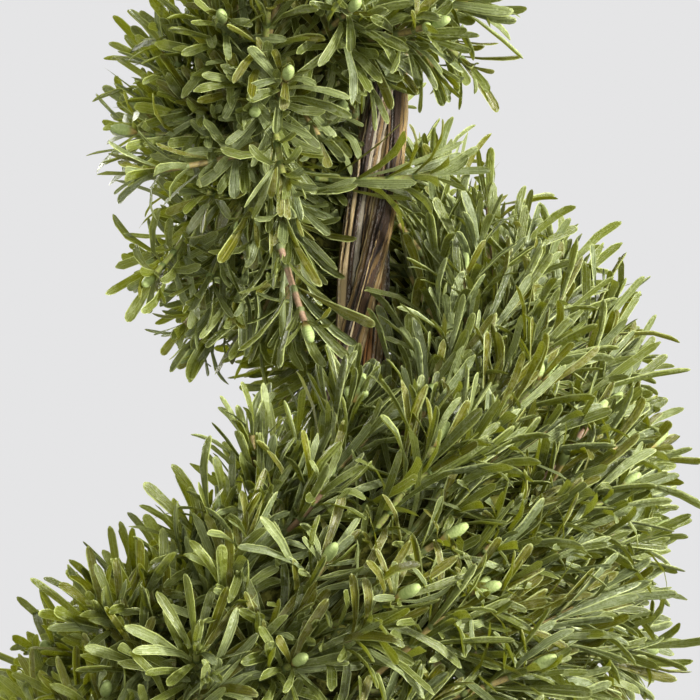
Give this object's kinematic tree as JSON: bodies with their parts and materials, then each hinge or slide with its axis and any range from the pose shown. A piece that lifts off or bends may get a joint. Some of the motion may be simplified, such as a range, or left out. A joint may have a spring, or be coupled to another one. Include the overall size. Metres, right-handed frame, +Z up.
{
  "type": "artificial rosemary spiral topiary in a pot",
  "caption": "Artificial spiral topiary: a leafy band winds up a twisted natural-look trunk from a plain round clay pot to a tufted tip.",
  "frame": {"origin": "middle of the pot's flat underside, at floor level", "axes": "+Z up along the trunk; the band climbs counter-clockwise seen from above; -Y faces the viewer of the close view"},
  "size_m": [0.3432, 0.3734, 1.2512],
  "materials": {
    "clay": "matte",
    "filling": "matte",
    "bark": "matte",
    "leaf": "matte"
  },
  "bodies": {
    "root": {"pot": "clay", "pot_filling": "filling", "trunk_stem_1": "bark", "trunk_stem_2": "bark", "trunk_stem_3": "bark", "foliage_01": "leaf", "foliage_02": "leaf", "foliage_03": "leaf", "foliage_04": "leaf", "foliage_05": "leaf", "foliage_06": "leaf", "foliage_07": "leaf", "foliage_08": "leaf", "foliage_09": "leaf", "foliage_10": "leaf", "foliage_11": "leaf", "foliage_12": "leaf", "foliage_13": "leaf", "foliage_14": "leaf", "foliage_15": "leaf", "foliage_tip": "leaf"}
  },
  "joints": []
}
